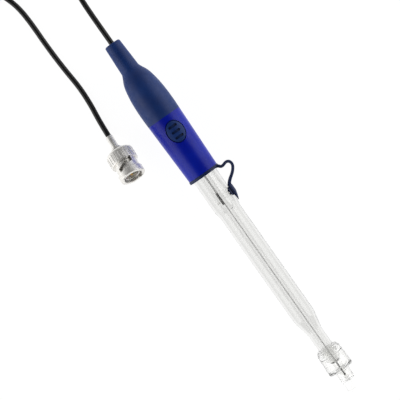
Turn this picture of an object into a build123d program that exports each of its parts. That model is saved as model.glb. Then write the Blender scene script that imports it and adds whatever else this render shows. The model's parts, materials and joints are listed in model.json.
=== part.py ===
from build123d import *
import math
import os

# Refillable glass combination electrode for water testing, with a BNC lead.
# All sizes are in millimetres.  Two working frames are used:
#   probe frame  X runs down the probe's axis from the boot's mouth to the tip,
#                +Z faces up, the thumb pad's side
#   plug frame   X runs along the plug from the ferrule's heel to its open face
# Both are placed into the row frame, which stands on the table at Z = 0.

# ---- driving dimensions ---------------------------------------------------
SLIP = 0.05                 # radial clearance of pieces pushed together
RUNNING_FIT = 0.08          # radial clearance of pieces that turn on each other
FUSED_GAP = 0.02            # line left between fused glass pieces

# ---- glass: radii -----------------------------------------------------------
BARREL_R = 6.7              # thick upper barrel
SHAFT_R = 6.0
NECK_R = 4.0
GLASS_WALL = 1.1
STEM_R = 1.8
STEM_WALL = 0.6
BULB_R = 2.45
BULB_WALL = 0.35
CHAMBER_R = 3.5             # inner reference tube
CHAMBER_WALL = 0.6
CHAMBER_OFFSET = (0.8, 0.5)  # its axis leans to the fill hole's side
ELEMENT_OFFSET = (-0.45, 2.4)
ELEMENT_LENGTH = 8.5
ELEMENT_R = 0.52
LEAD_R = 0.2
JUNCTION_R = 0.5
BEAD_R = 0.55

# ---- handle -----------------------------------------------------------------
BOOT_LENGTH = 45.0
BOOT_MOUTH_R = 4.3          # outside, at the cable's exit
BOOT_NECK_R = 5.0           # outside, where the neck starts to swell
BOOT_NECK_END = 15.8
BOOT_SHOULDER_BACK = 5.5    # widest ring, back from the boot's end
BOOT_SWELL = [(0.177, 0.443), (0.388, 0.75), (0.599, 0.909)]  # share of run, share of rise
CAP_LENGTH = 35.5
CAP_WALL = 1.5              # at the cap's open end
CAP_BORE_CLEARANCE = 0.1    # round the glass body
CAP_BORE_R = BARREL_R + CAP_BORE_CLEARANCE
CAP_END_R = CAP_BORE_R + CAP_WALL
CAP_TOP_R = CAP_END_R + 0.98
BOOT_SHOULDER_R = CAP_TOP_R + 0.12
BOOT_SHOULDER_AT = BOOT_LENGTH - BOOT_SHOULDER_BACK
SPIGOT_LENGTH = 8.7         # cap spigot that the boot grips
SPIGOT_WALL = 1.9
SPIGOT_R = CAP_TOP_R - 2.38
SPIGOT_BORE_R = SPIGOT_R - SPIGOT_WALL

# ---- thumb pad ------------------------------------------------------------
PAD_AT = BOOT_LENGTH + 9.1  # centre, from the boot's mouth
PAD_LEAN = 6.4              # degrees round the axis, towards the fill hole
PAD_LENGTH = 11.3
PAD_WIDTH = 8.8
PAD_GROOVE = 0.45           # open gap round the pad
PAD_PROUD = 0.35
PAD_DEPTH = 1.1
PAD_SLOTS = 3
PAD_SLOT_PITCH = 3.0
PAD_SLOT_LENGTH = 4.8
PAD_SLOT_WIDTH = 1.25
PAD_SLOT_DEPTH = 0.65

# ---- strap ring and fill hole stopper --------------------------------------
CAP_END = BOOT_LENGTH + CAP_LENGTH
RING_WIDTH = 1.6
RING_R = CAP_END_R + 0.3
RING_SEAT_DEPTH = 0.75      # below the cap's end radius
HOLE_AT = CAP_END + 13.9    # fill hole, from the boot's mouth
HOLE_R = 1.8
HOLE_ELEVATION = 22.0       # degrees above the horizontal, on the +Y side
HINGE_RADIUS = RING_R + 0.9  # strap root, out from the probe's axis
STRAP_REACH = HINGE_RADIUS + 4.7  # apex of the strap
STRAP_R = 0.75
LUG_GAP = 0.1
STOPPER_GAP = 0.15          # saddle to glass
SADDLE_LENGTH = 5.8
SADDLE_THICKNESS = 0.95
SADDLE_ANGLE = 54.0
PIN_ROOT_R = HOLE_R - 0.1
PIN_TIP_R = PIN_ROOT_R - 0.6
TAB_WIDTH = 3.0

# ---- glass: places from the boot's mouth --------------------------------------
GLASS_TOP = BOOT_LENGTH + 8.0
BARREL_END = HOLE_AT + 5.2
SHAFT_START = BARREL_END + 2.8
SHAFT_LENGTH = 64.6
SHAFT_END = SHAFT_START + SHAFT_LENGTH
NECK_START = SHAFT_END + 9.0
COLLAR_START = NECK_START + 10.0
GLASS_END = COLLAR_START + 8.0  # ring seal on the inner stem
BULB_CENTRE = GLASS_END + 8.5
CHAMBER_START = GLASS_TOP - 1.0
CHAMBER_CONE = BARREL_END - 1.3
CHAMBER_END = BARREL_END + 2.0
ELEMENT_START = BARREL_END - 8.6
JUNCTION_AT = GLASS_END - 3.0
INNER_JUNCTION_AT = BARREL_END - 3.6

# ---- seals inside the handle ---------------------------------------------------
POTTING_START = BOOT_LENGTH + 3.0
POTTING_END = POTTING_START + 3.5
SEAL_LENGTH = 4.0
O_RING_AT = CAP_END - 4.5
O_RING_WIDTH = 1.5
O_RING_DEPTH = 0.75

# ---- cable and its entry -------------------------------------------------------
CABLE_R = 1.4
SHIELD_R = CABLE_R - 0.25
CORE_R = SHIELD_R - 0.35
CLAMP_START = BOOT_NECK_END + 0.2
CLAMP_LENGTH = 6.0
CLAMP_R = CABLE_R + 1.7
JACKET_END = CLAMP_START + CLAMP_LENGTH
SPLICE_END = BOOT_LENGTH - 3.5
ENTRY_RUN = SPLICE_END - JACKET_END  # the wires' lengths share this
DRAIN_START = JACKET_END + 0.205 * ENTRY_RUN
SHIELD_END = JACKET_END + 0.359 * ENTRY_RUN
SPLICE_START = JACKET_END + 0.59 * ENTRY_RUN
CORE_END = JACKET_END + 0.744 * ENTRY_RUN
SPLICE_WALL = 0.3

# ---- wetting cap --------------------------------------------------------------
COLLAR_END = COLLAR_START + 13.5
COLLAR_R = NECK_R + 2.75
COLLAR_MOUTH_R = COLLAR_R - 0.45
COLLAR_WALL = 1.3
NOSE_WALL = 0.8
NOSE_R = BULB_R + 1.3
NOSE_END_R = NOSE_R - 0.3
PROBE_LENGTH = BULB_CENTRE + 9.9
TIP_BEVEL_ANGLE = 29.0
CAP_FIT = 0.05              # wetting cap's lip round the neck
SEAL_WIDTH = 1.8
SEAL_DEPTH = 0.6

# ---- BNC plug, in its own frame -------------------------------------------------
FERRULE_LENGTH = 7.0
FERRULE_R = CABLE_R + 0.5
HUB_R = FERRULE_R + 0.7
HUB_LENGTH = 1.5
SHANK_START = FERRULE_LENGTH + HUB_LENGTH
SHANK_R = 3.75
SNAP_RING_R = SHANK_R + 0.65
SNAP_RING_GROOVE = 0.35
NUT_START = SHANK_START + 1.5
FLANGE_START = NUT_START + 6.0
FLANGE_LENGTH = 1.3
FLANGE_R = SHANK_R + 0.95
FLANGE_END = FLANGE_START + FLANGE_LENGTH
SLEEVE_R = 4.05
SLEEVE_WALL = 0.45
SLEEVE_END = FLANGE_START + 8.5
GASKET_R = SLEEVE_R + 0.7
PIN_R = 0.68
PIN_START = NUT_START + 2.2
PIN_END = SLEEVE_END - 0.2
INSULATOR_R = 2.4
CORE_BORE_R = CORE_R + 0.15
WASHER_THICKNESS = 0.5
WASHER_R = FLANGE_R + 0.7
SPRING_RINGS = 3
SPRING_STRIP = 0.35
SPRING_GAP = 0.08
NUT_LENGTH = 15.5
NUT_REAR_LENGTH = 7.0
NUT_WALL = 1.6
NUT_CHAMBER_R = WASHER_R + 0.2
NUT_CHAMBER_END = FLANGE_END + 0.3
NUT_R = NUT_CHAMBER_R + 1.65
NUT_RIM_ROUND = 1.5
NUT_BORE_R = max(FLANGE_R, GASKET_R) + 0.2
NUT_NECK_R = NUT_BORE_R + 1.0
NUT_FLANGE_R = NUT_NECK_R + 0.75
NUT_FLANGE_LENGTH = 3.5
FLUTES = 24
FLUTE_R = 0.4
BAYONET_SLOT = 2.3
BAYONET_TILT = 22.0
BAYONET_HALF_SPAN = 4.1
STUD_NOTCH_R = NUT_BORE_R + 0.8
STUD_NOTCH_WIDTH = 2.4

# ---- lie of the parts on the table -------------------------------------------------
PLUG_TILT = 23.0            # open face up: it rests on the nut's rear rim
PLUG_YAW = -2.9
PLUG_HEEL_S = 37.0          # ferrule heel, from the boot's mouth along the probe
PLUG_HEEL_Y = -28.2
COIL_CENTRE_S = -71.0
COIL_CENTRE_Y = -13.8
COIL_R = 17.0               # middle of the turns
COIL_COLUMNS = 4            # turns side by side
COIL_LAYERS = 2
COIL_CORNER_R = 1.35

TILT = math.radians(PLUG_TILT)
PLUG_HEEL_Z = (NUT_RIM_ROUND + (NUT_R - NUT_RIM_ROUND) * math.cos(TILT)
               - (NUT_START + NUT_RIM_ROUND) * math.sin(TILT))

# The probe lies on the boot's shoulder and on the wetting cap's collar.
COLLAR_TOUCH = COLLAR_END - 1.0
TABLE_TILT = math.degrees(math.atan2(
    BOOT_SHOULDER_R - COLLAR_R, COLLAR_TOUCH - BOOT_SHOULDER_AT))
LIFT = (BOOT_SHOULDER_AT * math.sin(math.radians(TABLE_TILT))
        + BOOT_SHOULDER_R * math.cos(math.radians(TABLE_TILT)))
ORIGIN_S = PROBE_LENGTH / 2
ORIGIN_Y = (STRAP_REACH * math.cos(math.radians(HOLE_ELEVATION))
            - BOOT_SHOULDER_R) / 2

PROBE_PLACE = Location((-ORIGIN_S, -ORIGIN_Y, LIFT)) * Location((0, 0, 0), (0, TABLE_TILT, 0))
PLUG_PLACE = (Location((PLUG_HEEL_S - ORIGIN_S, PLUG_HEEL_Y - ORIGIN_Y, PLUG_HEEL_Z))
              * Location((0, 0, 0), (0, 0, PLUG_YAW))
              * Location((0, 0, 0), (0, -PLUG_TILT, 0)))
TO_HOLE_SIDE = Location((0, 0, 0), (HOLE_ELEVATION - 90.0, 0, 0))
TO_PAD = Location((0, 0, 0), (-PAD_LEAN, 0, 0))


# ---- shape helpers -------------------------------------------------------------------
def turned(corners):
    """Solid of revolution round X.  Each corner is (x, radius) or (x, radius, fillet)."""
    points = [(c[0], c[1]) for c in corners]
    rounds = [c[2] if len(c) > 2 else 0 for c in corners]
    if any(rounds):
        outline = FilletPolyline(*points, radius=rounds, close=True)
    else:
        outline = Polyline(*points, close=True)
    return revolve(make_face(outline), Axis.X)


def tube(start, end, outer, inner):
    return turned([(start, inner), (start, outer), (end, outer), (end, inner)])


def rod(start, end, radius, offset=(0, 0)):
    shape = turned([(start, 0), (start, radius), (end, radius), (end, 0)])
    return Pos(0, *offset) * shape


def radial_rod(at, inner, outer, radius):
    """Round rod that stands out from the axis along +Z, from one radius to another."""
    return Pos(at, 0, (inner + outer) / 2) * Cylinder(radius, outer - inner)


def ring_of(shape, count):
    """Copies of a shape, evenly spaced round X."""
    return [Rot(360.0 * i / count, 0, 0) * shape for i in range(count)]


def cap_radius(at):
    """Outside radius of the cap's straight taper."""
    return CAP_TOP_R + (CAP_END_R - CAP_TOP_R) * (at - BOOT_LENGTH) / CAP_LENGTH


# ---- handle ------------------------------------------------------------------------------
RING_SEAT_R = CAP_END_R - RING_SEAT_DEPTH


def strain_relief_boot():
    """Rubber boot: a plain neck that swells into the handle's shoulder."""
    cavity_r = SPIGOT_BORE_R - 0.4
    spigot_top = BOOT_LENGTH - SPIGOT_LENGTH
    run, rise = BOOT_SHOULDER_AT - BOOT_NECK_END, BOOT_SHOULDER_R - BOOT_NECK_R
    swell = [(BOOT_NECK_END + along * run, BOOT_NECK_R + out * rise) for along, out in BOOT_SWELL]
    outer = (FilletPolyline((0, CABLE_R + SLIP), (0, BOOT_MOUTH_R),
                            (BOOT_NECK_END, BOOT_NECK_R), radius=[1.0])
             + Spline((BOOT_NECK_END, BOOT_NECK_R), *swell,
                      (BOOT_SHOULDER_AT, BOOT_SHOULDER_R), (BOOT_LENGTH, CAP_TOP_R),
                      tangents=((1.0, 0.32), (1.0, -0.03))))
    inner = Polyline((BOOT_LENGTH, CAP_TOP_R),
                     (BOOT_LENGTH, SPIGOT_R + SLIP),
                     (spigot_top, SPIGOT_R + SLIP),
                     (spigot_top, cavity_r),
                     (JACKET_END + 3.0, cavity_r),
                     (JACKET_END + 1.0, CLAMP_R + SLIP),
                     (CLAMP_START, CLAMP_R + SLIP),
                     (CLAMP_START, CABLE_R + SLIP),
                     (0, CABLE_R + SLIP))
    return revolve(make_face(outer + inner), Axis.X)


def pad_prism(length, width, top):
    return TO_PAD * (Pos(PAD_AT, 0, 0) * extrude(Ellipse(length / 2, width / 2), top))


def cap_offset(rise):
    """The cap's outer taper as a solid, moved out by rise."""
    return turned([(BOOT_LENGTH, 0), (BOOT_LENGTH, CAP_TOP_R + rise),
                   (CAP_END, CAP_END_R + rise), (CAP_END, 0)])


def cap_body():
    """Cap shell with spigot, glass bore, o-ring groove, ring seat and pad recess."""
    spigot_top = BOOT_LENGTH - SPIGOT_LENGTH
    shell = turned([
        (spigot_top + 0.3, SPIGOT_BORE_R), (spigot_top + 0.3, SPIGOT_R, 0.5),
        (BOOT_LENGTH, SPIGOT_R), (BOOT_LENGTH, CAP_TOP_R),
        (CAP_END - RING_WIDTH, cap_radius(CAP_END - RING_WIDTH)),
        (CAP_END - RING_WIDTH, RING_SEAT_R), (CAP_END, RING_SEAT_R),
        (CAP_END, CAP_BORE_R),
        (O_RING_AT + O_RING_WIDTH / 2, CAP_BORE_R),
        (O_RING_AT + O_RING_WIDTH / 2, CAP_BORE_R + O_RING_DEPTH),
        (O_RING_AT - O_RING_WIDTH / 2, CAP_BORE_R + O_RING_DEPTH),
        (O_RING_AT - O_RING_WIDTH / 2, CAP_BORE_R),
        (POTTING_START, CAP_BORE_R), (POTTING_START, SPIGOT_BORE_R)])
    hole = pad_prism(PAD_LENGTH + 2 * PAD_GROOVE, PAD_WIDTH + 2 * PAD_GROOVE, 2 * CAP_TOP_R)
    return shell - (hole - cap_offset(-PAD_DEPTH))


def thumb_pad():
    """Oval soft pad in the cap's recess, with plain finger slots across it."""
    pad = pad_prism(PAD_LENGTH, PAD_WIDTH, 2 * CAP_TOP_R)
    pad = (pad & cap_offset(PAD_PROUD)) - cap_offset(SLIP - PAD_DEPTH)
    skin = cap_offset(2 * PAD_PROUD) - cap_offset(PAD_PROUD - PAD_SLOT_DEPTH)
    for i in range(PAD_SLOTS):
        at = PAD_AT + (i - (PAD_SLOTS - 1) / 2) * PAD_SLOT_PITCH
        slot = extrude(Rot(0, 0, 90) * SlotOverall(PAD_SLOT_LENGTH, PAD_SLOT_WIDTH), 2 * CAP_TOP_R)
        pad = pad - (TO_PAD * (Pos(at, 0, 0) * slot) & skin)
    return pad


def strap_ring():
    """Rubber ring in the cap's seat, with the lug that carries the stopper's strap."""
    ring = turned([(CAP_END - RING_WIDTH, RING_SEAT_R + SLIP),
                   (CAP_END - RING_WIDTH, RING_R, 0.35),
                   (CAP_END, RING_R, 0.35), (CAP_END, RING_SEAT_R + SLIP)])
    lug_top = HINGE_RADIUS - STRAP_R - LUG_GAP
    lug = Pos(CAP_END - RING_WIDTH / 2, 0, (RING_SEAT_R + 0.5 + lug_top) / 2) * Box(
        RING_WIDTH, 2 * STRAP_R + 0.7, lug_top - RING_SEAT_R - 0.5)
    return ring + TO_HOLE_SIDE * lug


# ---- stopper --------------------------------------------------------------------------------
HINGE_AT = CAP_END - RING_WIDTH / 2 + 0.3
SADDLE_R = BARREL_R + STOPPER_GAP
HEAD_TOP = SADDLE_R + SADDLE_THICKNESS + 1.2


def stopper_strap():
    """Rubber strap: out from the ring, over its apex and down to the stopper's head."""
    points = [(HINGE_AT, 0, HINGE_RADIUS),
              (HINGE_AT + 0.2, 0, HINGE_RADIUS + 2.2),
              (HINGE_AT + 1.9, 0, STRAP_REACH),
              (HINGE_AT + 6.0, 0, HINGE_RADIUS + 2.6),
              (HOLE_AT - SADDLE_LENGTH / 2 - 0.6, 0, HEAD_TOP - 0.2)]
    path = FilletPolyline(*points, radius=[2.2, 1.7, 4.0])
    section = Plane(origin=path @ 0, z_dir=path % 0) * Circle(STRAP_R)
    eye = Pos(*points[0]) * Rot(90, 0, 0) * Cylinder(STRAP_R, 2 * STRAP_R + 0.6)
    return TO_HOLE_SIDE * (sweep(section, path=path) + eye)


def fill_hole_stopper():
    """Stopper: tapered pin, saddle that hugs the glass, head and pointed pull tab."""
    first = HOLE_AT - SADDLE_LENGTH / 2
    last = HOLE_AT + SADDLE_LENGTH / 2
    band = Polyline((first, SADDLE_R), (first, SADDLE_R + SADDLE_THICKNESS),
                    (last, SADDLE_R + SADDLE_THICKNESS), (last, SADDLE_R), close=True)
    saddle = revolve(make_face(band), Axis.X, SADDLE_ANGLE)
    saddle = Rot(90 - SADDLE_ANGLE / 2, 0, 0) * saddle
    pin_tip = BARREL_R - GLASS_WALL - 0.3
    pin = Pos(HOLE_AT, 0, (pin_tip + SADDLE_R + 0.3) / 2) * Cone(
        PIN_TIP_R, PIN_ROOT_R, SADDLE_R + 0.3 - pin_tip)
    side = Polyline((first - 0.5, SADDLE_R + 0.6), (first - 0.8, HEAD_TOP - 0.6),
                    (first + 0.2, HEAD_TOP), (last, HEAD_TOP),
                    (last + 2.8, SADDLE_R + 1.1), (last + 2.6, SADDLE_R + 0.8),
                    (last + 0.2, SADDLE_R + 0.6), close=True)
    head = extrude(Plane.XZ * make_face(side), TAB_WIDTH / 2, both=True)
    return TO_HOLE_SIDE * (saddle + pin + head)


# ---- glass --------------------------------------------------------------------------------------
def outer_glass_body():
    """Outer glass: barrel, shaft and neck, closed on the stem, with its two side holes."""
    wall = GLASS_WALL
    shape = turned([
        (GLASS_TOP, BARREL_R - wall), (GLASS_TOP, BARREL_R, 0.5),
        (BARREL_END, BARREL_R, 4), (SHAFT_START, SHAFT_R, 4),
        (SHAFT_END, SHAFT_R, 14), (NECK_START, NECK_R, 14),
        (GLASS_END - 1.2, NECK_R, 1.8), (GLASS_END + 0.6, STEM_R + 0.55, 0.5),
        (GLASS_END + 0.9, STEM_R + FUSED_GAP),
        (GLASS_END - 0.6, STEM_R + FUSED_GAP, 0.3),
        (GLASS_END - 2.0, NECK_R - wall, 1.0), (NECK_START - 0.3, NECK_R - wall, 14),
        (SHAFT_END - 0.3, SHAFT_R - wall, 14), (SHAFT_START - 0.3, SHAFT_R - wall, 4),
        (BARREL_END - 0.3, BARREL_R - wall, 4)])
    fill_hole = TO_HOLE_SIDE * radial_rod(HOLE_AT, 0, 2 * BARREL_R, HOLE_R)
    shape = shape - fill_hole
    return shape - Rot(180, 0, 0) * radial_rod(JUNCTION_AT, 0, 2 * NECK_R, JUNCTION_R + SLIP / 2)


def chamber_solid(radius, stem_radius, start):
    """Round bar on the chamber's leaning axis, ending in a cone that closes on the stem."""
    centre = CHAMBER_OFFSET
    bar = rod(start, CHAMBER_CONE, radius, centre)
    wide = Plane(origin=(CHAMBER_CONE, *centre), z_dir=(1, 0, 0)) * Circle(radius)
    slim = Plane(origin=(CHAMBER_END, 0, 0), z_dir=(1, 0, 0)) * Circle(stem_radius)
    return bar + loft([wide, slim])


def reference_chamber():
    """Inner reference tube round the stem, with a small hole for its junction."""
    outside = chamber_solid(CHAMBER_R, STEM_R + CHAMBER_WALL, CHAMBER_START)
    inside = chamber_solid(CHAMBER_R - CHAMBER_WALL, STEM_R + FUSED_GAP, CHAMBER_START - 1)
    stem = rod(CHAMBER_START - 1, CHAMBER_END + 1, STEM_R + FUSED_GAP)
    return outside - inside - stem - junction_rod(JUNCTION_R + SLIP / 2, 4.0)


def junction_rod(radius, reach):
    """Rod across the chamber's wall, on the side away from the fill hole."""
    y, z = CHAMBER_OFFSET
    middle = CHAMBER_R - CHAMBER_WALL / 2
    return Pos(INNER_JUNCTION_AT, y - middle, z) * Rot(90, 0, 0) * Cylinder(radius, reach)


def ph_stem():
    return tube(GLASS_TOP - 1.0, BULB_CENTRE - 4.5, STEM_R, STEM_R - STEM_WALL)


def sensing_bulb():
    """Thin glass bulb blown on the end of the stem."""
    neck_end = BULB_CENTRE - 4.5
    joint = BULB_CENTRE - math.sqrt(BULB_R ** 2 - STEM_R ** 2)
    inner_r = BULB_R - BULB_WALL
    inner_joint = BULB_CENTRE - math.sqrt(inner_r ** 2 - (STEM_R - BULB_WALL) ** 2)
    neck_inner = STEM_R - BULB_WALL
    outer = (Line((neck_end, neck_inner), (neck_end, STEM_R))
             + Line((neck_end, STEM_R), (joint, STEM_R))
             + ThreePointArc((joint, STEM_R), (BULB_CENTRE, BULB_R), (BULB_CENTRE + BULB_R, 0)))
    inner = (Line((BULB_CENTRE + BULB_R, 0), (BULB_CENTRE + inner_r, 0))
             + ThreePointArc((BULB_CENTRE + inner_r, 0), (BULB_CENTRE, inner_r),
                             (inner_joint, neck_inner))
             + Line((inner_joint, neck_inner), (neck_end, neck_inner)))
    return revolve(make_face(outer + inner), Axis.X)


def ceramic_junction():
    rod_out = NECK_R - 0.02
    return Rot(180, 0, 0) * radial_rod(JUNCTION_AT, NECK_R - GLASS_WALL - 0.5, rod_out, JUNCTION_R)


def inner_ceramic_junction():
    return junction_rod(JUNCTION_R, CHAMBER_WALL + 0.3)


def reference_element():
    return rod(ELEMENT_START, ELEMENT_START + ELEMENT_LENGTH - 1.6, ELEMENT_R, ELEMENT_OFFSET)


def reference_lead_wire():
    return rod(SPLICE_END - 4.0, ELEMENT_START, LEAD_R, ELEMENT_OFFSET)


def internal_lead_wire():
    return rod(CORE_END + 0.5, BULB_CENTRE - 8.0, LEAD_R)


def internal_element():
    """Silver wire end with a bead of silver chloride, in the bulb's buffer."""
    wire = rod(BULB_CENTRE - 8.0, BULB_CENTRE, 0.35)
    return wire + Pos(BULB_CENTRE, 0, 0) * Sphere(BEAD_R)


# ---- seals and cable entry inside the handle --------------------------------------------------------
def lead_hole():
    return rod(POTTING_START - 5, GLASS_TOP + 10, LEAD_R + SLIP, ELEMENT_OFFSET)


def epoxy_potting():
    """Epoxy poured over the glass body's top, round the two lead wires."""
    plug = rod(POTTING_START, POTTING_END, CAP_BORE_R - SLIP)
    return plug - rod(POTTING_START - 1, POTTING_END + 1, LEAD_R + SLIP) - lead_hole()


def top_seal():
    """Ring between the outer glass and the reference chamber."""
    seal = rod(GLASS_TOP + 0.5, GLASS_TOP + 0.5 + SEAL_LENGTH, BARREL_R - GLASS_WALL - SLIP)
    return seal - rod(GLASS_TOP, GLASS_TOP + 6, CHAMBER_R + SLIP, CHAMBER_OFFSET)


def stem_seal():
    """Ring between the reference chamber and the stem, pierced by the lead wire."""
    seal = rod(GLASS_TOP + 0.5, GLASS_TOP + 0.5 + SEAL_LENGTH,
               CHAMBER_R - CHAMBER_WALL - SLIP, CHAMBER_OFFSET)
    return seal - rod(GLASS_TOP, GLASS_TOP + 6, STEM_R + SLIP) - lead_hole()


def shaft_o_ring():
    half = O_RING_WIDTH / 2 - 0.1
    return turned([(O_RING_AT - half, BARREL_R + 0.02, 0.3),
                   (O_RING_AT - half, CAP_BORE_R + O_RING_DEPTH - SLIP, 0.3),
                   (O_RING_AT + half, CAP_BORE_R + O_RING_DEPTH - SLIP, 0.3),
                   (O_RING_AT + half, BARREL_R + 0.02, 0.3)])


def cable_clamp():
    return tube(CLAMP_START + 0.2, CLAMP_START + CLAMP_LENGTH - 0.2, CLAMP_R, CABLE_R + SLIP)


def cable_tail_jacket():
    return tube(0, JACKET_END, CABLE_R, SHIELD_R + SLIP)


def cable_tail_shield():
    return tube(0, SHIELD_END, SHIELD_R, CORE_R + SLIP)


def cable_tail_core():
    return rod(0, CORE_END, CORE_R)


def shield_drain_wire():
    """Twisted shield end, stepping out from the braid to its splice."""
    y, z = ELEMENT_OFFSET
    reach = math.hypot(y, z)
    inner = (SHIELD_R + LEAD_R + SLIP) / reach
    points = [(DRAIN_START, y * inner, z * inner), (SHIELD_END, y * inner, z * inner),
              (SPLICE_START - 1.0, y, z), (SPLICE_END - 4.5, y, z)]
    path = FilletPolyline(*points, radius=[1.5, 1.5])
    return sweep(Plane(origin=path @ 0, z_dir=path % 0) * Circle(LEAD_R), path=path)


def core_splice_sleeve():
    bore = CORE_R + SLIP
    return tube(SPLICE_START, SPLICE_END, bore + SPLICE_WALL, bore)


def shield_splice_sleeve():
    bore = LEAD_R + SLIP
    return Pos(0, *ELEMENT_OFFSET) * tube(SPLICE_START, SPLICE_END, bore + SPLICE_WALL, bore)


# ---- wetting cap ----------------------------------------------------------------------------------------
SEAL_AT = COLLAR_START + 2.6


def wetting_cap():
    """Soft clear cap: wide collar, slim nose and a bevelled tip, hollow for its soaker."""
    lip_r = NECK_R + CAP_FIT
    seat_r = lip_r + SEAL_DEPTH
    hollow_r = COLLAR_R - COLLAR_WALL
    nose_bore = NOSE_R - NOSE_WALL
    floor = COLLAR_END - 1.2
    nose_floor = BULB_CENTRE + BULB_R + 1.4
    cap = turned([
        (COLLAR_START, lip_r), (COLLAR_START, COLLAR_MOUTH_R - 0.9, 0.8),
        (COLLAR_START + 2.4, COLLAR_MOUTH_R + 0.1, 1.6), (COLLAR_END, COLLAR_R, 0.7),
        (COLLAR_END + 0.4, NOSE_R + 0.1, 0.6), (PROBE_LENGTH - 1.4, NOSE_END_R, 0.9),
        (PROBE_LENGTH, 1.6, 0.5), (PROBE_LENGTH, 0),
        (nose_floor, 0), (nose_floor - 0.3, nose_bore - 0.5, 1.5),
        (nose_floor - 3.0, nose_bore), (floor, nose_bore), (floor, hollow_r, 0.8),
        (SEAL_AT + SEAL_WIDTH, hollow_r, 0.5), (SEAL_AT + SEAL_WIDTH, lip_r + 0.2),
        (SEAL_AT + SEAL_WIDTH / 2, lip_r + 0.2), (SEAL_AT + SEAL_WIDTH / 2, seat_r),
        (SEAL_AT - SEAL_WIDTH / 2, seat_r), (SEAL_AT - SEAL_WIDTH / 2, lip_r)])
    blade = Pos(PROBE_LENGTH, 0, 0) * Rot(0, 0, -TIP_BEVEL_ANGLE) * Pos(0, 5, 0) * Box(40, 10, 20)
    return cap - blade


def wetting_cap_seal():
    half = SEAL_WIDTH / 2 - 0.1
    outer = NECK_R + CAP_FIT + SEAL_DEPTH - 0.02
    return turned([(SEAL_AT - half, NECK_R + 0.03, 0.2), (SEAL_AT - half, outer, 0.2),
                   (SEAL_AT + half, outer, 0.2), (SEAL_AT + half, NECK_R + 0.03, 0.2)])


# ---- BNC plug ----------------------------------------------------------------------------------------------
RING_GROOVE_AT = NUT_START - 0.8
RING_GROOVE_WIDTH = 0.7
NUT_END = NUT_START + NUT_LENGTH
WASHER_START = NUT_START + NUT_WALL + 0.1


def plug_ferrule():
    return tube(0, FERRULE_LENGTH, FERRULE_R, CABLE_R + SLIP)


def plug_cable_core():
    return rod(0, PIN_START - 0.1, CORE_R)


def plug_body():
    """Plug body: crimp hub, shank with its ring groove, and front flange."""
    return turned([
        (FERRULE_LENGTH, CORE_BORE_R), (FERRULE_LENGTH, HUB_R, 0.3),
        (SHANK_START, HUB_R), (SHANK_START, SHANK_R),
        (RING_GROOVE_AT, SHANK_R), (RING_GROOVE_AT, SHANK_R - SNAP_RING_GROOVE),
        (RING_GROOVE_AT + RING_GROOVE_WIDTH, SHANK_R - SNAP_RING_GROOVE),
        (RING_GROOVE_AT + RING_GROOVE_WIDTH, SHANK_R),
        (FLANGE_START, SHANK_R), (FLANGE_START, FLANGE_R),
        (FLANGE_END, FLANGE_R), (FLANGE_END, INSULATOR_R),
        (PIN_START, INSULATOR_R), (PIN_START, CORE_BORE_R)])


def plug_contact_sleeve():
    """Springy outer contact, split by four slots."""
    sleeve = turned([(FLANGE_END, SLEEVE_R - SLEEVE_WALL), (FLANGE_END, SLEEVE_R),
                     (SLEEVE_END, SLEEVE_R, 0.15), (SLEEVE_END, SLEEVE_R - SLEEVE_WALL, 0.15)])
    slot_start = FLANGE_END + 2.2
    slot_length = SLEEVE_END + 1 - slot_start
    slot = Pos(slot_start + slot_length / 2, 0, SLEEVE_R) * Box(slot_length, 0.5, 2)
    return sleeve - ring_of(slot, 4)


def plug_insulator():
    """White insulator: rear plug, front disc and the nose round the pin."""
    rear_r = INSULATOR_R - SLIP
    disc_r = SLEEVE_R - SLEEVE_WALL - SLIP
    bore = PIN_R + SLIP / 2
    return turned([(PIN_START + 0.05, bore), (PIN_START + 0.05, rear_r),
                   (FLANGE_END + 0.05, rear_r), (FLANGE_END + 0.05, disc_r),
                   (FLANGE_END + 3.2, disc_r), (FLANGE_END + 3.2, 1.75),
                   (FLANGE_END + 5.2, 1.75, 0.2), (FLANGE_END + 5.2, bore)])


def plug_pin():
    return turned([(PIN_START, 0), (PIN_START, PIN_R),
                   (PIN_END - 0.5, PIN_R, 0.3), (PIN_END, 0.3), (PIN_END, 0)])


def plug_gasket():
    return turned([(FLANGE_END, SLEEVE_R + SLIP), (FLANGE_END, GASKET_R, 0.2),
                   (FLANGE_END + 1.0, GASKET_R, 0.2), (FLANGE_END + 1.0, SLEEVE_R + SLIP)])


def retaining_ring():
    start = RING_GROOVE_AT + 0.05
    ring = tube(start, start + RING_GROOVE_WIDTH - 0.1, SNAP_RING_R,
                SHANK_R - SNAP_RING_GROOVE + SLIP)
    return ring - Pos(start, 0, SNAP_RING_R) * Box(4, 1.2, 4)


def thrust_washer():
    return tube(WASHER_START, WASHER_START + WASHER_THICKNESS, WASHER_R, SHANK_R + RUNNING_FIT)


def wave_washer():
    """Spring behind the flange that pulls the nut back: dished rings, turn about."""
    start = WASHER_START + WASHER_THICKNESS + SPRING_GAP
    pitch = (FLANGE_START - start) / SPRING_RINGS
    rise = pitch - SPRING_GAP - SPRING_STRIP
    inner_r = SHANK_R + 2 * RUNNING_FIT
    outer_r = WASHER_R - RUNNING_FIT
    rings = []
    for i in range(SPRING_RINGS):
        at = start + i * pitch
        low, high = (inner_r, outer_r) if i % 2 == 0 else (outer_r, inner_r)
        rings.append(turned([(at, low), (at + rise, high),
                             (at + rise + SPRING_STRIP, high), (at + SPRING_STRIP, low)]))
    return Compound(rings)


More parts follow.
